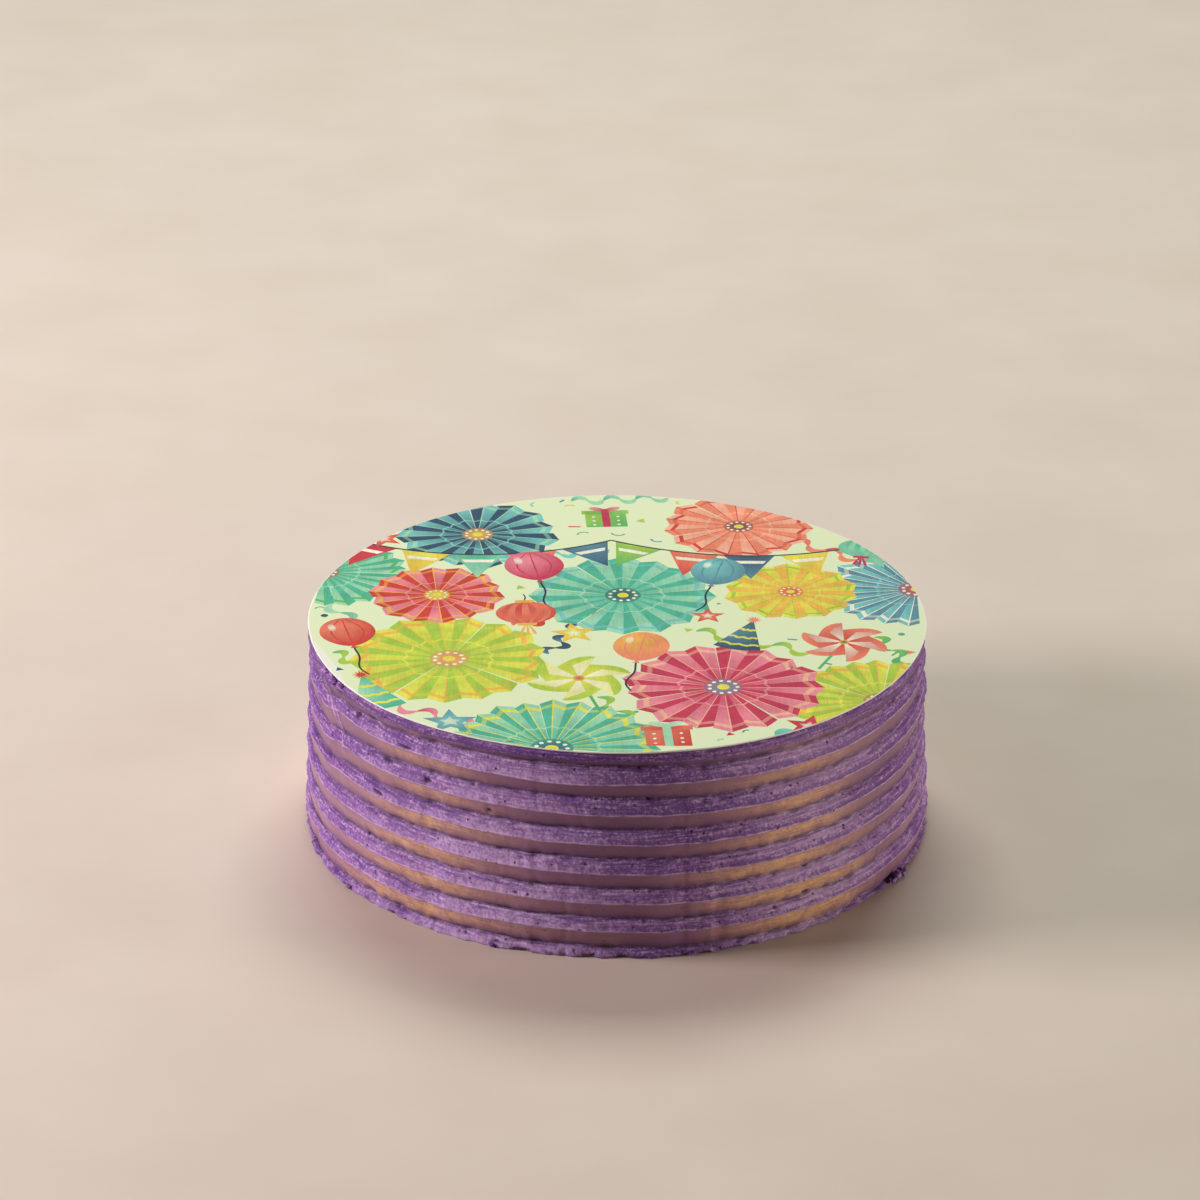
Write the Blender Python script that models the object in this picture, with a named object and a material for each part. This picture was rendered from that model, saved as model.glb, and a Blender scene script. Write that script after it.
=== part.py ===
# Round celebration cake: combed buttercream sides and a thin printed icing sheet on top.
# Metres, +Z up. The origin is the middle of the foot on the table, and the front faces -Y.
import math

import bmesh
import bpy
import numpy as np
from mathutils import Matrix, Vector

# Overall sizes
CAKE_HEIGHT = 0.0699
RIM_RADIUS = 0.1016
FOOT_RADIUS = 0.1043
SHEET_RADIUS = 0.1014
SHEET_THICKNESS = 0.0008
SHEET_GAP = 0.0003

# Comb: six full ridges between the foot and the rim
RIDGE_PITCH = 0.01055
RIDGE_COUNT = 6
FIRST_CREST = 0.0082
CREASE_DROP = 0.0050
RIDGE_DEPTH = 0.0020
CREST_WIDTH = 0.0009

# Foot of the side, where the icing meets the table
FOOT_BULGE_HEIGHT = 0.0014
FOOT_EDGE_INSET = 0.0007
FOOT_RAGGEDNESS = 0.0006

# Hand-made unevenness of the ridges
RADIUS_WANDER = 0.00035
HEIGHT_WANDER = 0.0005
WANDER_SEED = 11
WANDER_WAVES = 5

# The comb's start: a lump at the rim and a smeared dent below it
SEAM_ANGLE = math.radians(204)
SEAM_WIDTH = math.radians(3.6)
SEAM_LUMP = 0.0014
SEAM_LUMP_HEIGHT = 0.0655
SEAM_DENT = 0.0009
SEAM_DENT_HEIGHT = 0.055
SEAM_DENT_LEAN = math.radians(7)

# A scrap of icing pressed against the foot
SCRAP_ANGLE = math.radians(331)
SCRAP_WIDTH = math.radians(2.6)
SCRAP_SIZE = 0.0016

AROUND = 144
MERGE = 0.00001


def clear_scene():
    for item in list(bpy.data.objects):
        bpy.data.objects.remove(item, do_unlink=True)


def make_material(name, colour, roughness):
    material = bpy.data.materials.new(name)
    material.use_nodes = True
    shader = material.node_tree.nodes["Principled BSDF"]
    shader.inputs["Base Color"].default_value = (*colour, 1.0)
    shader.inputs["Roughness"].default_value = roughness
    shader.inputs["Metallic"].default_value = 0.0
    material.diffuse_color = (*colour, 1.0)
    return material


def purple_buttercream():
    return make_material("purple_buttercream", (0.30, 0.14, 0.38), 0.55)


def cream_icing_sheet():
    return make_material("cream_icing_sheet", (0.80, 0.82, 0.52), 0.40)


def wall_radius(height):
    """Crest radius at a height: the side widens evenly from the rim down to the foot."""
    share = height / CAKE_HEIGHT
    return FOOT_RADIUS + (RIM_RADIUS - FOOT_RADIUS) * share


def side_profile():
    """Outline of the combed side as (radius, height), from the rim down to the foot's edge."""
    outline = [(RIM_RADIUS, CAKE_HEIGHT)]
    half_crest = CREST_WIDTH / 2
    for index in reversed(range(RIDGE_COUNT)):
        crest = FIRST_CREST + index * RIDGE_PITCH
        crease = crest + RIDGE_PITCH - CREASE_DROP
        outline.append((wall_radius(crease) - RIDGE_DEPTH, crease))
        outline.append((wall_radius(crest), crest + half_crest))
        outline.append((wall_radius(crest), crest - half_crest))
    last_crease = FIRST_CREST - CREASE_DROP
    outline.append((wall_radius(last_crease) - RIDGE_DEPTH, last_crease))
    outline.append((FOOT_RADIUS, FOOT_BULGE_HEIGHT))
    outline.append((FOOT_RADIUS - FOOT_EDGE_INSET, 0.0))
    return outline


def spin_profile(outline):
    """Turn an outline with its two end points on the axis into a closed round solid."""
    form = bmesh.new()
    path = [(0.0, CAKE_HEIGHT)] + outline + [(0.0, 0.0)]
    verts = [form.verts.new((radius, 0.0, height)) for radius, height in path]
    edges = [form.edges.new(pair) for pair in zip(verts[:-1], verts[1:])]
    bmesh.ops.spin(
        form,
        geom=verts + edges,
        cent=(0.0, 0.0, 0.0),
        axis=(0.0, 0.0, 1.0),
        angle=math.tau,
        steps=AROUND,
        use_merge=True,
    )
    bmesh.ops.remove_doubles(form, verts=form.verts, dist=MERGE)
    bmesh.ops.recalc_face_normals(form, faces=form.faces)
    return form


def make_waves():
    """Phases and strengths of the slow waves that make the ridges uneven by hand."""
    draw = np.random.default_rng(WANDER_SEED)
    phases = draw.uniform(0.0, math.tau, (3, WANDER_WAVES))
    strengths = draw.uniform(0.4, 1.0, (3, WANDER_WAVES))
    return phases, strengths / strengths.sum(axis=1, keepdims=True)


def wander(waves, channel, angle, height):
    """A smooth value from -1 to 1 that drifts with the angle and shifts from ridge to ridge."""
    phases, strengths = waves
    orders = np.arange(WANDER_WAVES) * 2 + 2
    lean = height / RIDGE_PITCH * 0.9
    swing = np.sin(orders * angle + phases[channel] + lean * (orders % 3))
    return float((strengths[channel] * swing).sum())


def angle_apart(angle, centre):
    return (angle - centre + math.pi) % math.tau - math.pi


def hump(distance, width):
    """A smooth rise of height 1 that fades over the given width."""
    return math.exp(-((distance / width) ** 2))


def seam_offset(angle, height):
    """The lump at the rim and the leaning dent under it, where the comb was lifted."""
    lump = hump(angle_apart(angle, SEAM_ANGLE), SEAM_WIDTH)
    lump *= hump(height - SEAM_LUMP_HEIGHT, 0.0045)
    lean = (CAKE_HEIGHT - height) / CAKE_HEIGHT * SEAM_DENT_LEAN
    dent = hump(angle_apart(angle, SEAM_ANGLE + lean), SEAM_WIDTH * 0.7)
    dent *= hump(height - SEAM_DENT_HEIGHT, 0.009)
    return SEAM_LUMP * lump - SEAM_DENT * dent


def scrap_offset(angle, height):
    near = hump(angle_apart(angle, SCRAP_ANGLE), SCRAP_WIDTH)
    return SCRAP_SIZE * near * hump(height - 0.002, 0.003)


def make_side_uneven(form, waves):
    """Shift each point of the side in radius and height, and leave both flat ends flat."""
    for vert in form.verts:
        radius = math.hypot(vert.co.x, vert.co.y)
        height = vert.co.z
        if radius < RIM_RADIUS / 2:
            continue
        angle = math.atan2(vert.co.y, vert.co.x)
        on_end = height < MERGE or height > CAKE_HEIGHT - MERGE
        shift = seam_offset(angle, height) + scrap_offset(angle, height)
        if height < FOOT_BULGE_HEIGHT + MERGE:
            shift += FOOT_RAGGEDNESS * wander(waves, 2, angle * 5, height)
        elif not on_end:
            shift += RADIUS_WANDER * wander(waves, 0, angle, height)
        if on_end and height > MERGE:
            shift = max(shift, 0.0)
        lift = 0.0
        if FOOT_BULGE_HEIGHT + MERGE < height and not on_end:
            lift = HEIGHT_WANDER * wander(waves, 1, angle, height)
        scale = (radius + shift) / radius
        vert.co = Vector((vert.co.x * scale, vert.co.y * scale, height + lift))


def finish_object(form, name, material):
    mesh = bpy.data.meshes.new(name)
    form.to_mesh(mesh)
    form.free()
    mesh.materials.append(material)
    mesh.shade_smooth()
    mesh.set_sharp_from_angle(angle=math.radians(25))
    item = bpy.data.objects.new(name, mesh)
    bpy.context.scene.collection.objects.link(item)
    return item


def make_cake():
    form = spin_profile(side_profile())
    make_side_uneven(form, make_waves())
    bmesh.ops.triangulate(form, faces=form.faces, quad_method="SHORT_EDGE")
    return finish_object(form, "frosted_cake", purple_buttercream())


def make_sheet():
    """A thin flat disc of edible paper that lies on the cake's top."""
    form = bmesh.new()
    low = CAKE_HEIGHT + SHEET_GAP
    bmesh.ops.create_cone(
        form,
        cap_ends=True,
        cap_tris=True,
        segments=AROUND,
        radius1=SHEET_RADIUS,
        radius2=SHEET_RADIUS,
        depth=SHEET_THICKNESS,
        matrix=Matrix.Translation((0.0, 0.0, low + SHEET_THICKNESS / 2)),
    )
    bmesh.ops.recalc_face_normals(form, faces=form.faces)
    return finish_object(form, "print_sheet", cream_icing_sheet())


clear_scene()
make_cake()
make_sheet()
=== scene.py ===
import math
from functools import partial

import bpy
import numpy as np
from mathutils import Matrix, Vector
from mathutils.geometry import delaunay_2d_cdt


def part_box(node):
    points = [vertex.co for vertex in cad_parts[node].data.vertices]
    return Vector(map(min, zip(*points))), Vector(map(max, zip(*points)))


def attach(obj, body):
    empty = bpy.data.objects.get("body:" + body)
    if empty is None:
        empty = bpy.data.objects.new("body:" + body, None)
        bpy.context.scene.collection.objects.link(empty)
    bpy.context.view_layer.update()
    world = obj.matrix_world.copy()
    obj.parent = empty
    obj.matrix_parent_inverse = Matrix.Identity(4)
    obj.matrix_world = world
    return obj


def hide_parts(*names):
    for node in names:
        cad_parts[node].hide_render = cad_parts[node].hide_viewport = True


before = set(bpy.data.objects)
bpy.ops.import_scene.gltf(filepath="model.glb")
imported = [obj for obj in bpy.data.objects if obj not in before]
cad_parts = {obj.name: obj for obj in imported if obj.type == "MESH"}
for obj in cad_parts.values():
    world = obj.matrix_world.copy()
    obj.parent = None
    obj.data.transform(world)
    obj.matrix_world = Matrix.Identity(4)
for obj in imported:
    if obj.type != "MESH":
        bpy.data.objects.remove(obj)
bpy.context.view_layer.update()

mm = 0.001
tau = 2 * math.pi

# heights of the cake's top and of the printed sheet's face, in mm, as the solids have them
cakeTop = float(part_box("frosted_cake")[1].z) / mm
sheetTop = float(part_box("print_sheet")[1].z) / mm


# small helpers

def linearColour(hexText):
    # sRGB hex to linear: c/12.92 in the dark, ((c+0.055)/1.055)^2.4 above it
    s = np.array([int(hexText[i:i + 2], 16) / 255 for i in (1, 3, 5)])
    return np.where(s <= 0.04045, s / 12.92, ((s + 0.055) / 1.055) ** 2.4)


def rgba(hexText):
    # the linear colour with an alpha of 1, as a node's socket takes it
    return (*[float(c) for c in linearColour(hexText)], 1.0)


def smooth(t):
    # 3t^2 - 2t^3 between 0 and 1
    t = np.clip(t, 0, 1)
    return t * t * (3 - 2 * t)


def hump(distance, width):
    # bell curve of height 1: e^-(d/w)^2
    return np.exp(-(distance / width) ** 2)


def turnBetween(angle, centre):
    # signed angle from centre, within half a turn
    return (angle - centre + np.pi) % tau - np.pi


def ringNoise(angle, along, cellsRound, cellSize, seed):
    # smooth lattice noise, -1 to 1, that joins up round the cake: cellsRound cells in one turn,
    # and one cell each cellSize of the second parameter
    draw = np.random.default_rng(seed)
    u = (angle / tau) % 1 * cellsRound
    v = along / cellSize
    rows = int(np.ceil(v.max() - v.min())) + 3
    v = v - np.floor(v.min())
    lattice = draw.uniform(-1, 1, (cellsRound, rows))
    iu, iv = np.floor(u).astype(int), np.floor(v).astype(int)
    fu, fv = smooth(u - iu), smooth(v - iv)
    a, b = iu % cellsRound, (iu + 1) % cellsRound
    low = lattice[a, iv] * (1 - fu) + lattice[b, iv] * fu
    high = lattice[a, iv + 1] * (1 - fu) + lattice[b, iv + 1] * fu
    return low * (1 - fv) + high * fv


def lineNoise(angle, cellsRound, row, seed):
    # the same noise along one line round the cake, which crosses the lattice at the height row
    return ringNoise(angle, np.full_like(angle, row), cellsRound, 1.0, seed)


def addMesh(name, points, faces, material, pointValues=None, cornerColours=None):
    # makes a smooth-shaded piece from arrays: points n x 3, faces as a list of k x m index arrays, and the
    # values and colours that its material reads, by name
    loops = np.concatenate([group.reshape(-1) for group in faces]).astype(np.int32)
    sizes = np.concatenate([np.full(len(group), group.shape[1]) for group in faces]).astype(np.int32)
    starts = np.concatenate([[0], np.cumsum(sizes)[:-1]]).astype(np.int32)
    mesh = bpy.data.meshes.new(name)
    mesh.vertices.add(len(points))
    mesh.vertices.foreach_set("co", np.asarray(points, np.float32).reshape(-1))
    mesh.loops.add(len(loops))
    mesh.loops.foreach_set("vertex_index", loops)
    mesh.polygons.add(len(sizes))
    mesh.polygons.foreach_set("loop_start", starts)
    mesh.polygons.foreach_set("loop_total", sizes)
    mesh.update(calc_edges=True)
    for key, values in (pointValues or {}).items():
        layer = mesh.attributes.new(key, "FLOAT", "POINT")
        layer.data.foreach_set("value", np.asarray(values, np.float32).reshape(-1))
    for key, values in (cornerColours or {}).items():
        layer = mesh.attributes.new(key, "FLOAT_COLOR", "CORNER")
        layer.data.foreach_set("color", np.asarray(values, np.float32).reshape(-1))
    mesh.materials.append(material)
    mesh.shade_smooth()
    piece = bpy.data.objects.new(name, mesh)
    bpy.context.scene.collection.objects.link(piece)
    return piece


def setInputs(tree, node, values):
    # gives each input a plain value, or a link from a node's first output in use or from a (node, output)
    # pair; an input goes by its name, with _ for a space, or by i and its number where several share a
    # name
    for key, value in values.items():
        numbered = key[0] == "i" and key[1:].isdigit()
        socket = node.inputs[int(key[1:]) if numbered else key.replace("_", " ")]
        if isinstance(value, bpy.types.Node):
            value = (value, next(i for i, output in enumerate(value.outputs) if output.enabled))
        if isinstance(value, tuple) and isinstance(value[0], bpy.types.Node):
            tree.links.new(value[0].outputs[value[1]], socket)
        else:
            socket.default_value = value


def addNode(tree, kind, settings=None, **links):
    # adds one node: settings are its own properties, and links are its inputs
    node = tree.nodes.new("ShaderNode" + kind)
    for key, value in (settings or {}).items():
        setattr(node, key, value)
    setInputs(tree, node, links)
    return node


def newMaterial(name):
    # an empty material, its node tree and its main shader
    material = bpy.data.materials.new(name)
    material.use_nodes = True
    tree = material.node_tree
    return material, tree, tree.nodes["Principled BSDF"]


def strengthOf(node, factors):
    # the product of the factors: each is a pattern or mask as it is, or one with four numbers, which runs
    # evenly from the first two values to the last two
    product = None
    for source, *spread in factors:
        if spread:
            low, high, start, end = spread
            source = node("MapRange", Value=source, From_Min=low, From_Max=high, To_Min=start, To_Max=end)
        if product is None:
            product = source
        else:
            product = node("Math", {"operation": "MULTIPLY"}, i0=product, i1=source)
    return product


def layOver(node, colour, layers):
    # mixes each layer's colour over what lies under it, as strongly as the product of its factors
    for tone, *factors in layers:
        colour = node("Mix", {"data_type": "RGBA"}, Factor=strengthOf(node, factors), A=colour, B=tone)
    return colour


# camera

cameraPlace = {
    "lens": 126.0,              # mm
    "sensor": 36.0,             # mm
    "distance": 1.40,           # m from the aim point
    "aimHeight": 0.035,         # m, the aim point over the middle of the foot
    "elevation": 26.0,          # degrees above the table
    "azimuth": 0.0,             # degrees, 0 looks along +Y at the front
    "pan": -0.23,               # degrees to the right
    "tilt": 1.545,              # degrees up, so the cake sits low in the frame
    "roll": 0.16,               # degrees
    "clipEnd": 50.0,            # m
}


def addCamera(p):
    # stands on a sphere round the aim point, looks at it, then pans, tilts and rolls
    e, a, r = (math.radians(p[key]) for key in ("elevation", "azimuth", "roll"))
    back = Vector((math.sin(a) * math.cos(e), -math.cos(a) * math.cos(e), math.sin(e)))
    place = back * p["distance"] + Vector((0, 0, p["aimHeight"]))
    right = (-back).cross(Vector((0, 0, 1))).normalized()
    up = right.cross(-back)
    look = -back + math.tan(math.radians(p["pan"])) * right + math.tan(math.radians(p["tilt"])) * up
    look.normalize()
    right = look.cross(Vector((0, 0, 1))).normalized()
    up = right.cross(look)
    right, up = right * math.cos(r) + up * math.sin(r), up * math.cos(r) - right * math.sin(r)
    data = bpy.data.cameras.new("camera")
    data.lens = p["lens"]
    data.sensor_width = p["sensor"]
    data.clip_end = p["clipEnd"]
    camera = bpy.data.objects.new("camera", data)
    bpy.context.scene.collection.objects.link(camera)
    turn = Matrix((right, up, -look)).transposed()
    camera.matrix_world = Matrix.Translation(place) @ turn.to_4x4()
    bpy.context.scene.camera = camera


addCamera(cameraPlace)
print("camera placed")


# buttercream side

icing = {
    "around": 800,              # steps round the cake
    "rimRadius": 101.3,         # mm, crest radius under the printed sheet
    "footRadius": 104.2,        # mm
    "firstCrest": 8.2,          # mm above the table
    "pitch": 10.55,             # mm from crest to crest
    "ridges": 6,                # full crests below the rim
    "creaseDrop": 5.3,          # mm from a crest down to the crease under it
    "depth": 1.7,               # mm from crest to crease
    "lip": 0.16,                # mm that the torn lip stands out on a crest
    "slot": 0.60,               # mm, the thin dark cut in a crease
    "rimRound": 0.75,           # mm that the rim's rounded edge stands out
    "crestRise": (0.60, 0.22, 0.10),    # mm, slow, medium and fine rise and fall of a crest
    "creaseRise": (0.48, 0.30, 0.22),   # mm, the same for a crease
    "crestReach": (0.45, 0.18, 0.09),   # mm, slow, medium and fine in and out of a crest
    "creaseReach": (0.25, 0.16),        # mm, slow and fine in and out of a crease
    "nick": 0.45,               # mm, notches in a crest
    "torn": 0.50,               # mm, deeper stretches of a crease
    "fuzz": 0.15,               # mm, torn strokes on the rough upper faces
    "swell": 0.16,              # mm, soft lumps on the rough upper faces
    "ragged": 0.85,             # mm, crumbly lower edge
    "bite": 0.9,                # mm, bites out of the lower edge
    "pits": 620,
    "pitDepth": 0.55,           # mm
    "pitSize": (0.30, 0.62),    # mm, the smallest and the largest
    "strandHeight": 0.55,       # mm
    # shares of the way down a face at which its rows of points lie
    "lowerSteps": (0.10, 0.32, 0.56, 0.80, 0.96),
    "upperSteps": (0.07, 0.17, 0.29, 0.42, 0.56, 0.69, 0.81, 0.92),
    "footSteps": (0.30, 0.50, 0.72, 0.90),
    # the line where the comb was lifted: it leans from rim to foot, and lies between the two heights that
    # follow
    "seamAngle": 204.0,         # degrees
    "seamLean": 13.0,           # degrees
    "seamFade": (34.0, 54.0),   # mm, none below the first and all above the second
    "seamSlip": 0.8,            # mm that the comb's lines slip there
    # the relief is flatter round this angle: angle and half width (degrees), and share lost
    "shallow": (186.0, 20.0, 0.35),
    # how far the comb sank below even spacing (mm), by height (mm), at angles round the cake (degrees)
    "sagAngles": (10, 60, 120, 160, 202, 212, 225, 237, 250, 262, 274, 286, 298, 306, 318, 334),
    "crestSag": {
        12: (0.2, 0.0, 0.0, 0.2, 0.7, 0.35, -0.6, -0.9, -1.1, -1.05, -0.7, 0.0, 0.2, 0.5, 0.7, 0.5),
        40: (1.0, 0.5, 0.6, 1.0, 2.5, 1.8, 0.7, 0.0, 0.2, 0.2, 0.8, 1.4, 1.6, 1.7, 1.7, 2.1),
        61: (1.2, 0.8, 1.0, 2.0, 4.0, 2.2, 1.7, 0.7, 0.9, 1.3, 1.0, 1.4, 2.0, 2.1, 2.2, 1.8),
    },
    "creaseSag": {
        8: (1.0, 0.6, 0.6, 1.0, 1.7, 0.9, 0.15, 0.0, -0.9, -0.7, -0.2, 0.5, 1.0, 1.4, 1.8, 1.9),
        40: (1.8, 1.2, 1.3, 2.0, 4.2, 2.8, 1.6, 0.5, 0.4, 0.5, 0.9, 1.4, 2.0, 2.3, 2.9, 3.2),
        66: (2.0, 1.4, 1.5, 2.6, 5.2, 4.0, 2.8, 1.0, 0.5, 0.5, 0.7, 2.0, 2.1, 2.4, 3.0, 3.2),
    },
    # torn gaps: angle (degrees), height (mm), half width (degrees), half height (mm), depth (mm)
    "tears": (
        (2.6, 55.0, 0.42, 2.1, 1.6), (3.7, 44.0, 0.38, 1.8, 1.4), (1.0, 33.6, 0.5, 0.8, 0.7),
        (247, 46.5, 0.5, 0.7, 0.9), (215, 62.2, 0.9, 0.6, 0.9), (229, 60.2, 1.6, 0.5, 0.7),
        (222, 40.2, 1.5, 0.5, 0.6), (306, 13.0, 0.9, 0.6, 0.7), (209.5, 65.6, 1.3, 0.7, 0.9),
        (220.5, 63.6, 1.9, 0.45, 0.7), (224, 52.3, 1.6, 0.5, 0.7), (234, 51.2, 0.8, 0.8, 0.8),
    ),
    # strands dragged across the ridges by the seam: angle and height at both ends, half width (mm)
    "strands": (
        (198.6, 68.0, 205.2, 56.0, 0.75), (201.8, 67.5, 209.4, 51.0, 0.80),
        (206.0, 62.5, 211.8, 45.5, 0.55), (196.0, 62.0, 201.0, 51.5, 0.55),
    ),
    # stretches of painted gold reflection and of painted light: angle and half width (degrees), and strength
    "reflectedGoldStretches": (
        (231, 14, 0.80), (303, 13, 1.0), (20, 16, 0.35), (62, 22, 0.8), (112, 18, 0.5), (160, 20, 0.75),
    ),
    "whipped": (
        (253, 18, 1.0), (224, 7, 0.30), (306, 18, 0.85), (352, 12, 0.2), (48, 16, 0.7), (100, 14, 0.4),
        (148, 18, 0.7),
    ),
    "paintedLightTop": 67.0,         # mm, none above it
    # painted shading of the rough faces from crease to crest, at angles round the cake (degrees): 1 is paler
    # under the crease, -1 is paler above the crest
    "shading": (
        (10, 60, 100, 150, 212, 235, 258, 273, 284, 297, 316, 336),
        (0.1, -0.25, 0.5, -0.3, -0.1, -0.35, -0.5, 0.2, 0.5, 1.0, 1.1, 0.9),
    ),
    # painted shade, at angles round the cake (degrees): the painted gold reflection falls back to a dark
    # mauve
    "dusk": (
        (10, 60, 120, 200, 240, 262, 282, 290, 297, 308, 316, 325, 336),
        (0.2, 0.0, 0.4, 0.0, 0.05, 0.4, 0.75, 0.4, 0.1, 0.1, 0.6, 1.35, 0.25),
    ),
    "tones": {
        # pale is the painted highlight on lips and the painted glints on flecks
        "deep": "#623688", "light": "#976cb5", "pale": "#d6b6da",       # hollows, torn faces, flecks and lips
        "whipped": "#cbabdb", "patch": "#85558f",                       # paler stretches of painted light, and broad patches
        "mauve": "#956a94", "mauveWarm": "#a97c94", "mauveDeep": "#785078",     # painted warm reflection on the smooth lower faces, and its shade
        "gold": "#e2b384", "bronzeWorn": "#896078", "bronzeEdge": "#6a476e",    # painted gold reflection, its dull patches and its shade
        # painted shade for creases, and for pits, tears and holes
        "crease": "#3f2649", "pit": "#35193c",
    },
}

sideRadius = 102                # mm, the side's mean radius, which turns an angle into a length


def sag(p, table, angle, height):
    # depth of the comb's sag for one line: straight between the table's angles, then between its heights
    rows = [np.interp(np.degrees(angle), p["sagAngles"], row, period=360) for row in p[table].values()]
    levels = list(p[table])
    i = 0 if height < levels[1] else 1
    share = min(max((height - levels[i]) / (levels[i + 1] - levels[i]), 0), 1)
    return rows[i] * (1 - share) + rows[i + 1] * share


def wallReach(p, height):
    # the crests' even radius at a height: straight from the foot's radius to the rim's
    return p["footRadius"] + (p["rimRadius"] - p["footRadius"]) * min(height / cakeTop, 1)


def combLines(p, angle):
    # each crest and crease is a line round the cake: its height and radius drift by slow, medium and fine
    # noise; by the seam, where the comb was lifted, the lines slip a little and the relief is smeared
    # flat
    crests, creases = [], []
    seam = math.radians(p["seamAngle"])
    fadeLow, fadeHigh = p["seamFade"]
    turn, wide, lost = p["shallow"]
    shallow = 1 - lost * hump(turnBetween(angle, math.radians(turn)), math.radians(wide))
    for k in range(p["ridges"] + 1):
        base = p["firstCrest"] + k * p["pitch"]
        drop = base - p["creaseDrop"]
        lean = (cakeTop - base) / cakeTop * math.radians(p["seamLean"])
        away = turnBetween(angle, seam + lean)
        share = smooth((base - fadeLow) / (fadeHigh - fadeLow))
        slip = p["seamSlip"] * share * np.tanh(away / math.radians(2.2)) * hump(away, math.radians(9))
        smear = share * hump(away, math.radians(2.6))
        slow, slowIn = lineNoise(angle, 7, k * 0.7, 21), lineNoise(angle, 9, k * 1.3, 31)

        rise = (slow, lineNoise(angle, 46, k * 9.3, 22), lineNoise(angle, 330, k * 9.7, 23))
        height = base - sag(p, "crestSag", angle, base) + np.tensordot(p["crestRise"], rise, 1) + slip
        nick = smooth((lineNoise(angle, 120, k * 4.1, 27) - 0.62) / 0.3)
        inOut = (slowIn, lineNoise(angle, 60, k * 8.1, 32), lineNoise(angle, 380, k * 7.9, 33))
        out = wallReach(p, base) + np.tensordot(p["crestReach"], inOut, 1) - p["nick"] * nick - 0.75 * smear
        if k == p["ridges"]:                        # the rim is level and nearly even
            height = np.full_like(angle, cakeTop - 0.25)
            out = wallReach(p, base) - 0.15 + 0.4 * (out - wallReach(p, base))
        crests.append((height, out))

        rise = (slow, lineNoise(angle, 58, k * 6.1, 24), lineNoise(angle, 240, k * 5.3, 25))
        low = drop - sag(p, "creaseSag", angle, drop) + np.tensordot(p["creaseRise"], rise, 1) + slip
        torn = smooth((lineNoise(angle, 90, k * 3.7, 26) - 0.35) / 0.4)
        inOut = (slowIn, lineNoise(angle, 260, k * 2.9, 28))
        inner = wallReach(p, drop) - p["depth"] * shallow + np.tensordot(p["creaseReach"], inOut, 1)
        creases.append((low, inner - p["torn"] * torn + 0.65 * smear))
    return crests, creases


def upperProfile(t):
    # how far out the rough face has come, 0 to 1, at a share t of the way from crease to crest: a rounded
    # shoulder under the crease, a nearly upright middle, then a flare to the crest
    return 0.74 * smooth(t / 0.42) ** 0.8 + 0.26 * smooth((t - 0.52) / 0.48)


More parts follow.
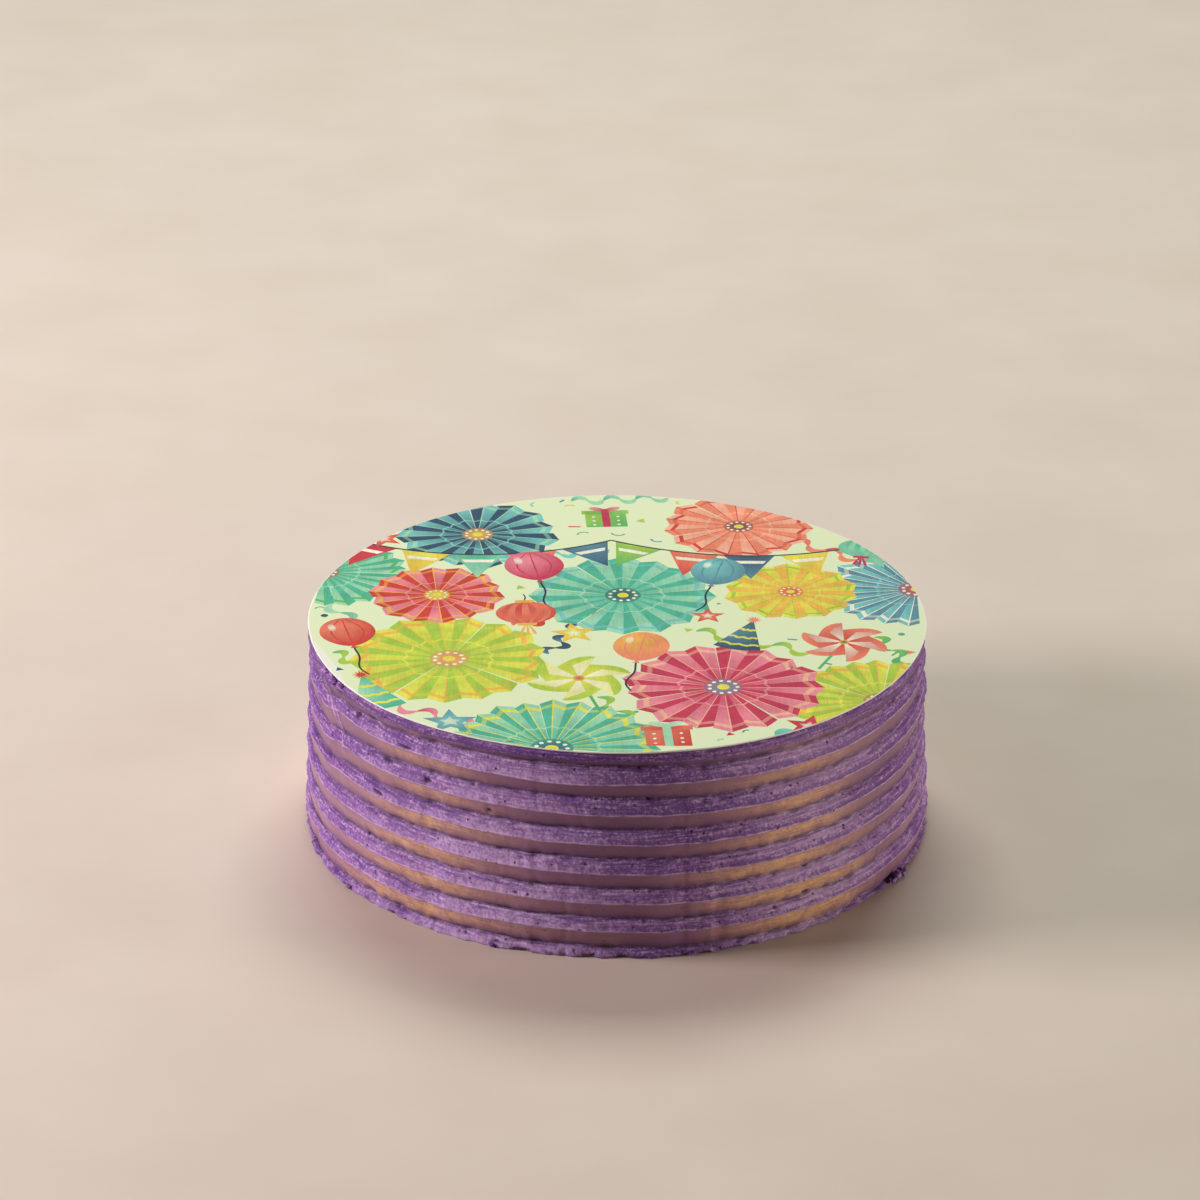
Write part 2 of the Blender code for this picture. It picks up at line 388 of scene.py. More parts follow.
def sideRows(p, angle):
    # rows from the rim down: a smooth lower face from each crest to the crease under it, a thin slot,
    # then a rough upper face from the slot's ragged edge out to the next crest; gives radius, height and
    # masks by row, of which the crest mask carries painted highlight and the crease mask painted shade
    crests, creases = combLines(p, angle)
    rows = {"radius": [], "height": [], "underside": [], "crest": [], "crease": [], "climb": []}

    def addRow(*values):
        for key, value in zip(rows, values):
            rows[key].append(np.broadcast_to(value, angle.shape))

    for k in reversed(range(p["ridges"] + 1)):
        z0, r0 = crests[k]
        z1, r1 = creases[k]
        for t in p["lowerSteps"]:
            hollow = 0.10 * math.sin(math.pi * t)
            # edge is a painted highlight near the crest; shade is painted shade towards the crease
            under, edge, shade = 1.0, max(0.0, 1 - t / 0.14), max(0.0, (t - 0.72) / 0.5)
            if k == p["ridges"]:        # the rim is rounded, rough above its smooth lower part, and under painted shade
                hollow = -p["rimRound"] * math.sin(math.pi * min(t / 0.8, 1))
                under, edge, shade = min(max((t - 0.25) / 0.45, 0.0), 1.0), 0.0, max(0.42, shade)
            addRow(r0 + (r1 - r0) * t * t - hollow, z0 + (z1 - z0) * t, under, edge, shade, t)
        fine = lineNoise(angle, 420, k * 2.3, 29)
        coarse = lineNoise(angle, 150, k * 3.1, 30)
        width = 0.52 + 0.34 * coarse
        slotIn = p["slot"] * (0.6 + 0.4 * coarse)
        # the slot's rows carry painted shade
        addRow(r1 - slotIn, z1 - 0.35 * width, 0.5, 0.0, 0.75 + 0.25 * coarse, 0.0)
        addRow(r1 + 0.10 + 0.18 * fine, z1 - width + 0.16 * fine, 0.0, 0.0, 0.50, 0.0)
        if k == 0:
            break
        z2, r2 = crests[k - 1]
        for t in p["upperSteps"]:
            r = r1 + (r2 - r1) * upperProfile(t)
            z = z1 - width * (1 - t) + (z2 - z1) * t
            # painted highlight nearing the crest, painted shade just under the crease
            addRow(r, z, 0.0, max(0.0, (t - 0.84) / 0.2), max(0.0, 0.40 - t * 2.2), t)
        # the lip's rows carry the painted highlight
        addRow(r2 + p["lip"], z2 + 0.10, 0.0, 1.0, 0.0, 1.0)
        addRow(r2 + p["lip"] * 0.5, z2 - 0.22, 0.6, 0.8, 0.0, 1.0)

    # the foot: crumbs, bites and gaps along the table, with painted shadow in the gaps and along the table
    z1, r1 = creases[0]
    slow = lineNoise(angle, 34, 0, 41)
    crumb = lineNoise(angle, 200, 0, 42) + 0.6 * lineNoise(angle, 390, 3, 43)
    bite = smooth((lineNoise(angle, 120, 1.5, 44) - 0.25) / 0.35)
    scrape = 0.20 * lineNoise(angle, 260, 0, 46)
    gap = smooth((lineNoise(angle, 210, 2.5, 47) - 0.18) / 0.3)
    footOut = p["footRadius"] - 0.1 + 0.35 * slow + 0.35 * p["ragged"] * crumb - p["bite"] * bite
    for t in p["footSteps"]:
        rough = 0.22 * lineNoise(angle, 300, 7 * t, 45) + scrape
        # dark pulls the rows in and is painted shadow, strongest in the gaps
        dark = (0.15 + 0.85 * gap) * smooth((t - 0.42) / 0.40)
        r = r1 + (footOut - r1) * math.sin(t * math.pi / 2) + rough - 0.5 * dark
        addRow(r, (z1 - 0.4) * (1 - t) + 0.05 * t, 0.0, 0.1 * t, dark, 0.3 + 0.5 * t)
    # the lowest row carries painted shadow along the table
    addRow(footOut - 0.45 - 0.5 * gap + 0.2 * crumb, 0.02, 0.0, 0.0, 0.9, 0.9)
    return [np.array(values) for values in rows.values()]


def pitMask(p, angle, height, rough):
    # air pits gather just under the creases: each is a bell-shaped hole, shallower on the smooth faces
    draw = np.random.default_rng(61)
    pit = np.zeros_like(height)
    for _ in range(p["pits"]):
        centre = draw.uniform(0, tau)
        crease = p["firstCrest"] - p["creaseDrop"] + draw.integers(0, p["ridges"] + 1) * p["pitch"]
        level = crease - abs(draw.normal(0.4, 1.6))
        size = draw.uniform(*p["pitSize"]) * (1.5 if draw.uniform() > 0.92 else 1)      # a few are larger
        near = np.nonzero(np.abs(turnBetween(angle, centre)) < 0.03)[0]
        far = turnBetween(angle[near], centre)[None, :] * sideRadius
        pit[:, near] += hump(far, size * 1.4) * hump(height[:, near] - level, size * 0.8)
    return np.clip(pit, 0, 1) * (0.35 + 0.65 * rough)


def strandMask(p, angle, height):
    # each strand is a bell-shaped cord from its upper end to its lower one, with a slight bend, faded at
    # both ends
    strand = np.zeros_like(height)
    for turn0, high, turn1, low, wide in p["strands"]:
        share = np.clip((high - height) / (high - low), 0, 1)
        bend = 0.006 * np.sin(share * 7 + turn0)
        middle = math.radians(turn0) + share * math.radians(turn1 - turn0) + bend
        ends = smooth((high - height) / 2.0) * smooth((height - low) / 3.0)
        strand = np.maximum(strand, hump(turnBetween(angle, middle) * sideRadius, wide * 1.5) * ends)
    return strand


def roughen(p, angle, radius, height, under, climb):
    # adds torn strokes and pits to the rough faces, tears and strands, all along the radius: stroke noise is
    # narrow round the cake and long up it
    a = np.broadcast_to(angle, radius.shape)
    rough = 1 - under
    lean = a + height * 0.0045
    stroke = ringNoise(lean, height, 420, 2.2, 51) * 0.5 + ringNoise(a, height, 260, 1.0, 52) * 0.6
    grain = ringNoise(a, height, 700, 0.7, 53)
    swell = ringNoise(a, height, 75, 3.5, 54)
    fuzz = p["fuzz"] * (stroke * (0.5 + climb) + 0.7 * grain)
    radius = radius + rough * (fuzz + p["swell"] * swell) + 0.05 * under * swell
    pit = pitMask(p, angle, height, rough)
    radius = radius - p["pitDepth"] * pit
    for turn, level, wide, tall, deep in p["tears"]:
        across = turnBetween(a, math.radians(turn)) / math.radians(wide * 1.5)
        gap = smooth(1.6 - 1.6 * np.hypot(across, (height - level) / (tall * 1.5)))
        radius = radius - deep * gap
        # a tear also takes the pit mask, which paints shade into it
        pit = np.maximum(pit, gap)
    strand = strandMask(p, a, height)
    return radius + p["strandHeight"] * strand, pit, strand


def stretches(table, angle, height, seed):
    # strength of a tone, 0 to 1: bell curves round the cake, the widest near the foot, broken up by soft
    # noise
    a = np.broadcast_to(angle, height.shape)
    level = np.clip(height / cakeTop, 0, 1)
    strength = np.zeros_like(height)
    shift = 0.10 * ringNoise(a, height, 11, 10.5, seed)
    for turn, wide, most in table:
        away = turnBetween(a, math.radians(turn)) + shift
        strength = np.maximum(strength, most * hump(away, math.radians(wide) * (1.25 - 0.35 * level)))
    return np.clip(strength + 0.12 * ringNoise(a, height, 60, 5.0, seed + 1), 0, 1)


def frostingSurface(p):
    # the closed skin of the cake as rows round the axis: middle of the top, out to the rim, down the combed
    # side, and in under the foot to the middle again
    angle = np.arange(p["around"]) * tau / p["around"]
    radius, height, under, crest, crease, climb = sideRows(p, angle)
    radius, pit, strand = roughen(p, angle, radius, height, under, climb)
    level = np.clip(height / cakeTop, 0, 1)
    turn = np.degrees(angle)
    # painted light for the material: highlight on crests and strands, shade in creases and pits, a warm gold
    # reflection on the lower faces that is strongest near the foot, paler stretches of light, shade that
    # deepens towards the top and by angle, and shading by angle
    masks = {
        "underside": under * (1 - 0.6 * strand),
        "crest": np.maximum(crest, 0.95 * strand),
        "crease": crease,
        "pit": pit,
        "climb": climb,
        "gild": stretches(p["reflectedGoldStretches"], angle, height, 71) * (1.30 - 0.80 * level),
        "whipped": stretches(p["whipped"], angle, height, 75) * (height < p["paintedLightTop"]),
        "dusk": 0.75 * smooth((level - 0.3) / 0.5) + np.interp(turn, *p["dusk"], period=360),
        "shading": np.interp(turn, *p["shading"], period=360) + 0 * height,
    }
    # radius and height (mm) of the plain rows above and below the side
    above = (
        (60.0, cakeTop), (96.0, cakeTop),
        (p["rimRadius"] - 0.9, cakeTop), (p["rimRadius"] - 0.25, cakeTop - 0.08),
    )
    below = ((p["footRadius"] - 2.0, 0.0), (50.0, 0.0))
    full = np.ones_like(angle)
    r, z = (
        np.vstack([[full * row[i] for row in above], side, [full * row[i] for row in below]])
        for i, side in enumerate((radius, height))
    )
    bare = [np.zeros((len(rows), angle.size)) for rows in (above, below)]
    masks = {key: np.vstack([bare[0], mask, bare[1]]) for key, mask in masks.items()}
    return np.stack([r * np.cos(angle), r * np.sin(angle), z], axis=-1) * mm, masks


def closeRings(grid, firstPole, lastPole):
    # joins rows of a ring grid with quads and closes both ends with a fan round a pole point
    rows, around = grid.shape[:2]
    index = np.arange(rows * around).reshape(rows, around)
    turned = np.roll(index, -1, axis=1)
    quads = np.stack([index[:-1], index[1:], turned[1:], turned[:-1]], axis=-1).reshape(-1, 4)
    first, last = rows * around, rows * around + 1
    fanA = np.stack([np.full(around, first), index[0], turned[0]], axis=-1)
    fanB = np.stack([np.full(around, last), turned[-1], index[-1]], axis=-1)
    points = np.vstack([grid.reshape(-1, 3), firstPole, lastPole])
    return points, [quads, fanA, fanB]


def combedButtercream(p):
    # buttercream whipped with air and drawn with a metal comb: a matt torn upper face on each ridge, with
    # pale flecks painted as glints, and a satin lower face, pressed smooth by the comb, that carries a
    # painted warm gold reflection; painted highlight, light and shade lie over both
    material, tree, shader = newMaterial("combedButtercream")
    node = partial(addNode, tree)
    tone = {key: rgba(value) for key, value in p["tones"].items()}
    floats = {"data_type": "FLOAT"}
    masks = ("underside", "crest", "crease", "pit", "climb", "gild", "whipped", "shading", "dusk")
    under, crest, crease, pit, climb, gild, whipped, turned, paintedShadeMask = [
        (node("Attribute", {"attribute_name": name}), "Fac") for name in masks
    ]

    place = (node("TexCoord"), "Object")
    # strokes 1.2 mm wide and 2.6 mm long that lean: the space is twisted about the cake's axis with height
    twist = node("Math", {"operation": "MULTIPLY"}, i0=(node("SeparateXYZ", Vector=place), "Z"), i1=4.5)
    leaning = node("VectorRotate", {"rotation_type": "Z_AXIS"}, Vector=place, Angle=twist)
    strokeSpace = node("Mapping", Vector=leaning, Scale=(850, 850, 380))
    stroke = node("TexNoise", Vector=strokeSpace, Scale=1.0, Detail=2.0, Roughness=0.5, Distortion=0.8)
    # torn flecks 0.7 mm across, clots 4 mm wide, and patches 20 mm wide
    fleck = node("TexNoise", Vector=place, Scale=1100.0, Detail=2.0, Roughness=0.6)
    clot = node("TexNoise", Vector=place, Scale=230.0, Detail=3.0, Roughness=0.6)
    patch = node("TexNoise", Vector=place, Scale=50.0, Detail=2.0)
    # drag marks that run round the cake with the comb, 0.5 mm high and 9 mm long
    dragSpace = node("Mapping", Vector=place, Scale=(110, 110, 1900))
    drag = node("TexNoise", Vector=dragSpace, Scale=1.0, Detail=2.0, Roughness=0.6)
    # air holes 0.4 mm across, a few in each square centimetre, fewer on the smooth faces
    cells = node("TexVoronoi", {"feature": "F1"}, Vector=place, Scale=330.0)
    few = (node("SeparateColor", Color=(cells, "Color")), "Red")
    hole = strengthOf(node, [
        ((cells, "Distance"), 0.10, 0.18, 1, 0), (few, 0.62, 0.66, 0, 1), (under, 0, 1, 0.9, 0.35),
    ])

    # how torn the rough faces are: flecks and clots, then strokes towards the crest and drag marks near
    # the crease, with painted shading, paler under a crease or above a crest by angle, and painted shade
    torn = node("Mix", floats, Factor=0.38, A=fleck, B=clot)
    torn = node("Mix", floats, Factor=strengthOf(node, [(climb, 0.3, 0.8, 0.15, 0.38)]), A=torn, B=stroke)
    torn = node("Mix", floats, Factor=strengthOf(node, [(climb, 0.2, 0.7, 0.45, 0.2)]), A=torn, B=drag)
    # painted shading: paler under the crease or above the crest, by angle round the cake
    shoulder = strengthOf(node, [(turned,), (climb, 0.25, 0.75, 0.08, -0.07)])
    torn = node("Math", {"operation": "ADD"}, i0=torn, i1=shoulder)
    # painted shade: the rough faces darken by angle and towards the top
    torn = node("Math", {"operation": "ADD"}, i0=torn, i1=strengthOf(node, [(paintedShadeMask, 0, 1.5, 0, -0.07)]))
    shine = node("Mix", floats, Factor=0.45, A=fleck, B=drag)
    rough = layOver(node, tone["deep"], (
        (tone["light"], (torn, 0.43, 0.57, 0, 1)),
        # painted light: paler stretches round the cake
        (tone["whipped"], (whipped,), (torn, 0.36, 0.58, 0.2, 0.9)),
        # painted glints: pale flecks, more towards the crease
        (tone["pale"], (shine, 0.53, 0.65, 0, 0.72), (climb, 0.3, 0.8, 1, 0.55)),
        # painted shade: dark lines near the crease
        (tone["deep"], (drag, 0.34, 0.44, 0.5, 0), (climb, 0.05, 0.55, 1, 0)),
        (tone["patch"], (patch, 0.35, 0.7, 0, 0.25)),
    ))
    # lower faces carry a painted warm reflection: mauve where the purple shows through, golden where the
    # painted gold reflection is strong, with dull patches, and darker where painted shade falls
    undersideReflection = layOver(node, tone["mauve"], (
        (tone["mauveWarm"], (clot, 0.3, 0.7, 0, 1)),
        (tone["mauveDeep"], (paintedShadeMask, 0, 1, 0.1, 1)),
        (tone["bronzeEdge"], (paintedShadeMask, 1, 1.5, 0, 0.6)),
        (tone["gold"], (gild,), (stroke, 0.35, 0.62, 0.72, 1.12)),
        (tone["bronzeWorn"], (drag, 0.40, 0.66, 0, 0.50)),
        (tone["bronzeWorn"], (clot, 0.42, 0.62, 0, 0.5), (fleck, 0.4, 0.6, 0.3, 1)),
        (tone["bronzeEdge"], (climb, 0.45, 1, 0, 1), (clot, 0.35, 0.6, 0.45, 1)),
    ))
    # the torn lip of a crest, and each strand, carries a painted highlight in a thin, broken pale line;
    # creases, air pits and holes carry painted shade, and a crease breaks up where the icing closed over it
    colour = layOver(node, rough, (
        (undersideReflection, (under, 0.45, 0.95, 0, 1)),
        (tone["pale"], (crest, 0.5, 1, 0, 0.75), (clot, 0.36, 0.58, 0.25, 1)),
        (tone["crease"], (crease, 0.18, 0.85, 0, 1), (clot, 0.38, 0.56, 0.35, 1)),
        (tone["pit"], (pit, 0.3, 0.8, 0, 0.9)),
        (tone["pit"], (hole,)),
    ))

    # relief in metres: strokes and flecks stand up, holes go in, and the smooth faces keep little of it
    strokeLift, fleckLift, holeDrop = (
        node("Math", {"operation": "MULTIPLY"}, i0=source, i1=height)
        for source, height in ((stroke, 0.00030), (fleck, 0.00022), (hole, 0.0004))
    )
    lift = node("Math", {"operation": "ADD"}, i0=strokeLift, i1=fleckLift)
    lift = node("Math", {"operation": "SUBTRACT"}, i0=lift, i1=holeDrop)
    lift = strengthOf(node, [(lift,), (under, 0, 1, 1, 0.15)])
    setInputs(tree, shader, {
        "Base Color": colour,
        "Roughness": strengthOf(node, [(under, 0, 1, 0.74, 0.40)]),
        "Normal": node("Bump", Height=lift, Distance=1.0, Strength=0.6),
        "IOR": 1.42,
        "Sheen Weight": 0.05,
        "Sheen Roughness": 0.5,
    })
    return material


def makeFrosting(p):
    # the skin's rows closed at the middle of the top and of the foot
    grid, masks = frostingSurface(p)
    points, faces = closeRings(grid, [[0, 0, grid[0, 0, 2]]], [[0, 0, 0]])
    values = {key: np.append(mask.reshape(-1), [0.0, 0.0]) for key, mask in masks.items()}
    piece = addMesh("combed_frosting", points, faces, combedButtercream(p), values)
    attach(piece, "root")
    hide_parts("frosted_cake")


makeFrosting(icing)
print("frosting combed")


# loose scraps of buttercream

scraps = {
    "rows": 11,                 # rows of points from end to end of a scrap, and points in a row
    "around": 18,
    "swell": (0.24, 0.12),      # share of its size, broad and fine lumps
    "climb": 0.45,              # how torn they look
    "edge": 0.2,                # how much painted highlight they carry
    "places": (
        # angle (degrees), height and stand-out of the middle (mm), length, height and thickness (mm),
        # tilt (degrees)
        (206.4, 68.9, 0.4, 6.4, 2.9, 2.6, -6), (202.4, 68.2, 0.4, 6.0, 2.7, 2.3, 14),
        (209.8, 69.1, 0.1, 4.2, 2.0, 2.0, 4), (204.4, 66.4, 0.0, 4.6, 1.8, 1.7, 24),
        (331.2, 1.9, 0.5, 3.4, 2.6, 2.6, 14), (332.6, 1.1, 1.3, 2.6, 1.6, 1.9, -20),
        (329.6, 1.0, 0.7, 2.8, 1.5, 1.8, 8), (334.6, 0.8, 0.6, 2.2, 1.3, 1.6, 0),
        (248.0, 0.8, 0.3, 2.4, 1.2, 1.4, 0), (283.5, 0.7, 0.2, 2.2, 1.1, 1.3, 9),
        (214.0, 0.8, 0.3, 2.8, 1.2, 1.5, 0), (31.0, 0.8, 0.3, 3.0, 1.4, 1.7, 10),
        (78.0, 0.8, 0.2, 2.6, 1.2, 1.4, -8), (131.0, 0.9, 0.4, 3.2, 1.5, 1.8, 6),
        (4.5, 57.2, 0.0, 3.2, 1.0, 1.0, 8), (4.8, 46.4, 0.0, 3.0, 0.9, 0.9, -6),
    ),
}


def makeScraps(p):
    # each scrap is a ball of rows and columns squashed to its three sizes and pushed in and out by
    # lattice noise, then turned to lie along the cake's side; the middle sits on the side's mean slope
    up = np.linspace(0, np.pi, p["rows"] + 2)[1:-1][:, None]
    around = np.arange(p["around"]) * tau / p["around"]
    everyAngle = around[None, :] + 0 * up
    points, quads, caps, start = [], [], [], 0
    for i, (turn, level, out, length, tall, thick, tilt) in enumerate(p["places"]):
        swell = 1 + p["swell"][0] * ringNoise(everyAngle, up * 2 + i, 7, 1.0, 81 + i)
        swell = swell + p["swell"][1] * ringNoise(everyAngle, up * 5 + i, 12, 1.0, 121 + i)
        wide = np.sin(up)
        ball = np.stack([wide * np.cos(around), wide * np.sin(around), np.cos(up) + 0 * around], -1)
        ball = ball * swell[..., None] * np.array([length, thick, tall]) / 2
        c, s = math.cos(math.radians(tilt)), math.sin(math.radians(tilt))
        along = ball[..., 0] * c - ball[..., 2] * s
        rise = ball[..., 0] * s + ball[..., 2] * c
        a = math.radians(turn)
        reach = wallReach(icing, level) + out + ball[..., 1]
        x = reach * math.cos(a) - along * math.sin(a)
        y = reach * math.sin(a) + along * math.cos(a)
        z = np.maximum(level + rise, 0.02)
        grid = np.stack([x, y, z], -1) * mm
        part, (body, capA, capB) = closeRings(grid, [grid[0].mean(0)], [grid[-1].mean(0)])
        points.append(part)
        quads.append(body + start)
        caps += [capA + start, capB + start]
        start += len(part)
    faces = [np.vstack(quads)[:, ::-1], np.vstack(caps)[:, ::-1]]
    unused = ("underside", "crease", "pit", "gild", "whipped", "shading", "dusk")
    values = {key: np.zeros(start) for key in unused}
    values.update(crest=np.full(start, p["edge"]), climb=np.full(start, p["climb"]))
    piece = addMesh("icing_scraps", np.vstack(points), faces, bpy.data.materials["combedButtercream"], values)
    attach(piece, "root")


makeScraps(scraps)
print("scraps pressed on")


# printed sheet

printPlan = {
    "radius": 101.2,            # mm, edge of the printed field; outside it the sheet is bare
    "sheetRadius": 101.5,       # mm
    "pointSpacing": 2.6,        # mm between the points that carry the sheet's slight waves
    "worn": (192, 211, 2.3),    # the margin is worn bare by the seam: between two angles (degrees), mm wide
    "confetti": 260,
    "seed": 5,
    # the sheet's edge, from its face down to its back: mm outwards and down
    "edge": ((0.16, 0.08), (0.20, 0.26), (0.06, 0.44), (-0.55, 0.62), (-0.70, None)),
    "lift": 0.05,               # mm between the sheet's back and the cake's top
    "drift": (0.18, 0.10),      # mm, slow and finer in and out of its outline
    "drawnIn": (257, 0.42, 0.8),        # where the outline lies in: angle (degrees), half width (radians), mm
    "inks": {
        "ground": "#e3edc4", "bare": "#eeeee2", "white": "#f4f0dc", "dark": "#2f3346",
        "coral": "#ef8a6c", "peach": "#f6b79b", "red": "#cf4038", "crimson": "#c93658", "pink": "#ee8fa0",
        "mint": "#a1d8b4", "teal": "#4fb597", "aqua": "#7cc8c4", "steel": "#5d8fa4", "navy": "#36506c",
        "lime": "#a9cb45", "yellow": "#e3e052", "gold": "#efb84e", "leaf": "#5cb56a",
    },
}
inkValues = {key: linearColour(value) for key, value in printPlan["inks"].items()}
paperTones = ("ground", "bare")         # even tones, with no pools or streaks of ink
shapes = []


def ink(points, near, far=None, centre=None, reach=1.0):
    # one printed field of colour: flat, or changing from near to far over reach outwards from centre
    points = np.asarray(points, float)
    after = np.roll(points, -1, axis=0)
    if (points[:, 0] * after[:, 1] - after[:, 0] * points[:, 1]).sum() < 0:
        points = points[::-1]                       # every outline runs anticlockwise
    shapes.append({
        "points": points,
        "near": inkValues[near],
        "far": inkValues[far or near],
        "centre": points.mean(0) if centre is None else np.asarray(centre, float),
        "reach": reach,
        "wash": 0.0 if near in paperTones else 1.0,
    })


def spinPoints(points, turn, centre):
    # turns one point or several about the origin by turn degrees, then moves them to centre
    a = math.radians(turn)
    spin = np.array([[math.cos(a), math.sin(a)], [-math.sin(a), math.cos(a)]])
    return np.asarray(points, float) @ spin + np.asarray(centre, float)


def ovalPoints(width, height, count=20):
    # ellipse: (w/2 cos t, h/2 sin t)
    t = np.arange(count) * tau / count
    return np.stack([width / 2 * np.cos(t), height / 2 * np.sin(t)], -1)


def strokePoints(path, widths):
    # a band along a path: each point shifted by half its width to both sides of the path's direction
    path = np.asarray(path, float)
    along = np.gradient(path, axis=0)
    along /= np.linalg.norm(along, axis=1, keepdims=True)
    side = np.stack([-along[:, 1], along[:, 0]], -1) * np.asarray(widths, float).reshape(-1, 1) / 2
    return np.vstack([path + side, (path - side)[::-1]])


def dot(x, y, size, tone, far=None):
    # a small disc, flat or paler or darker towards its edge
    ink(ovalPoints(size, size, 12) + (x, y), tone, far, reach=size / 2)


def rosette(x, y, size, pleats, start, sweep, light, dark, rim, button):
    # a folded paper rosette, or a fan where sweep is under 360: each pleat has a lit half and a shaded half,
    # two stripes, and a fine line down its fold; the middle holds a button with a ring of beads
    draw = np.random.default_rng(int(abs(x) * 31 + abs(y) * 17))
    step = math.radians(sweep) / pleats
    middle = (x, y)

    def ray(a, r):
        return np.array([x + r * math.cos(a), y + r * math.sin(a)])

    inner = size * 0.12
    for i in range(pleats):
        a0 = math.radians(start) + i * step + draw.uniform(-0.02, 0.02)
        a1, a2 = a0 + step * 0.52, a0 + step * 1.02
        out = size * draw.uniform(0.95, 1.02)
        valley, tip = out * 0.95, out * 1.04
        ink([ray(a0, inner), ray(a0, valley), ray(a1, tip), ray(a1, inner)], dark, light, middle, size * 0.9)
        ink([ray(a1, inner), ray(a1, tip), ray(a2, valley), ray(a2, inner)], dark, dark, middle, size)
        for low, high, tone in ((0.86, 0.92, rim), (0.44, 0.47, light)):
            lit = [ray(a0, valley * low), ray(a0, valley * high), ray(a1, tip * high), ray(a1, tip * low)]
            shaded = [ray(a1, tip * low), ray(a1, tip * high), ray(a2, valley * high), ray(a2, valley * low)]
            ink(lit, tone)
            ink(shaded, tone, dark, middle, size * 1.6)
        ink(strokePoints([ray(a1, inner), ray(a1, tip * 0.99)], [0.2, 0.5]), rim)
    ink(ovalPoints(size * 0.40, size * 0.40, 26) + middle, button, dark, middle, size * 0.34)
    for i in range(11):
        a = i * tau / 11
        dot(x + size * 0.145 * math.cos(a), y + size * 0.145 * math.sin(a), size * 0.045, "white")
    dot(x, y, size * 0.13, "gold", "yellow")


def lantern(x, y, size, turn, light, dark, cap):
    # a round paper lantern: nested ovals in two tones make its ribs, with a cap, a foot and a tassel
    middle = (x, y)
    lit = spinPoints((-size * 0.1, size * 0.15), turn, middle)
    for i, share in enumerate((1.0, 0.82, 0.60, 0.36, 0.13)):
        rib = ovalPoints(size * share, size * 0.86, 26)
        tones = (light, dark) if i % 2 == 0 else (dark, light)
        ink(spinPoints(rib, turn, middle), *tones, lit, size * 0.75)
    for side in (-1, 1):
        bar = np.array([(-0.17, 0.40), (0.17, 0.40), (0.15, 0.50), (-0.15, 0.50)]) * size * (1, side)
        ink(spinPoints(bar, turn, middle), cap)
    for shift in (-0.08, 0.0, 0.08):
        thread = np.array([(shift * 0.4, -0.5), (shift, -0.66), (shift * 1.5, -0.84)]) * size
        ink(strokePoints(spinPoints(thread, turn, middle), [0.5, 0.9, 1.1]), cap)
    hook = np.array([(0, 0.5), (0.02, 0.62), (-0.01, 0.74)]) * size
    ink(strokePoints(spinPoints(hook, turn, middle), [0.5, 0.5, 0.4]), "dark")


def pinwheel(x, y, size, blades, turn, front, back, hub, stick):
    # a paper pinwheel on a stick: each blade is a curved sail with its corner folded to the middle
    middle = (x, y)
    ink(strokePoints([middle, spinPoints((0, -size * 1.5), stick, middle)], [1.3, 1.0]), "leaf")
    t = np.linspace(0, 1, 9)
    sweep = np.radians(62 * t)
    r = size * (1 - 0.36 * smooth(t))
    sail = np.vstack([[0, 0], np.stack([r * np.cos(sweep), r * np.sin(sweep)], -1)])
    fold = np.array([[0, 0], [size, 0], [size * 0.50, size * 0.30]])
    for i in range(blades):
        a = turn + i * 360 / blades
        ink(spinPoints(sail, a, middle), back, front, middle, size)
        ink(spinPoints(fold, a, middle), "white", back, middle, size * 1.2)
    dot(x, y, size * 0.24, hub, "gold")


def balloon(x, y, size, turn, light, dark, wave):
    # a balloon: an oval that narrows below, three gore lines, a pale shine, a knot and a wavy string
    middle = (x, y)
    s = np.linspace(0, 1, 22)
    string = np.stack([wave * np.sin(s * 7) * s, -size * 0.56 - s * size * 0.95], -1)
    ink(strokePoints(spinPoints(string, turn, middle), np.full(22, 0.7)), "dark")
    t = np.linspace(0, tau, 30, endpoint=False)
    px, py = np.sin(t), np.cos(t)
    body = np.stack([size * 0.42 * px * (1 - 0.22 * np.clip(-py, 0, 1) ** 2), size * 0.5 * py], -1)
    lit = spinPoints((-size * 0.12, size * 0.18), turn, middle)
    ink(spinPoints(body, turn, middle), light, dark, lit, size * 0.6)
    v = np.linspace(-0.46, 0.46, 12)
    for bend in (-0.24, 0.0, 0.24):
        line = np.stack([bend * size * np.cos(v * 3.1), v * size], -1)
        ink(strokePoints(spinPoints(line, turn, middle), 0.25 + 0.35 * np.cos(v * 3.1)), dark)
    shine = ovalPoints(size * 0.12, size * 0.26, 14) + (-size * 0.2, size * 0.2)
    ink(spinPoints(shine, turn, middle), "white", light, reach=size * 0.14)
    knot = [(0, -size * 0.47), (size * 0.06, -size * 0.57), (-size * 0.06, -size * 0.57)]
    ink(spinPoints(knot, turn, middle), dark)


def partyHat(x, y, size, turn, light, dark, band, tip):
    # a cone hat: a triangle with a curved hem, wavy bands across it, and a ragged pompon at its tip
    middle = (x, y)
    v = np.linspace(-1, 1, 11)
    hem = np.stack([v * size * 0.36, -size * 0.5 - size * 0.07 * (1 - v * v)], -1)
    body = np.vstack([hem, [(0, size * 0.5)]])
    ink(spinPoints(body, turn, middle), light, dark, spinPoints((-size * 0.2, 0), turn, middle), size * 0.6)
    for level in (0.08, 0.34, 0.60, 0.84):
        drop = size * 0.5 - size * level + 0.5 * np.cos(v * 9) - size * 0.05 * (1 - v * v) * level
        line = np.stack([v * (size * 0.36 * level), drop], -1)
        ink(strokePoints(spinPoints(line, turn, middle), np.full(11, size * 0.055)), band)
    tuft = np.array([(0, -0.5), (size * 0.14, 0), (0, 0.5)])
    for a in range(0, 360, 30):
        ink(spinPoints(spinPoints(tuft, a, (0, size * 0.52)), turn, middle), tip)


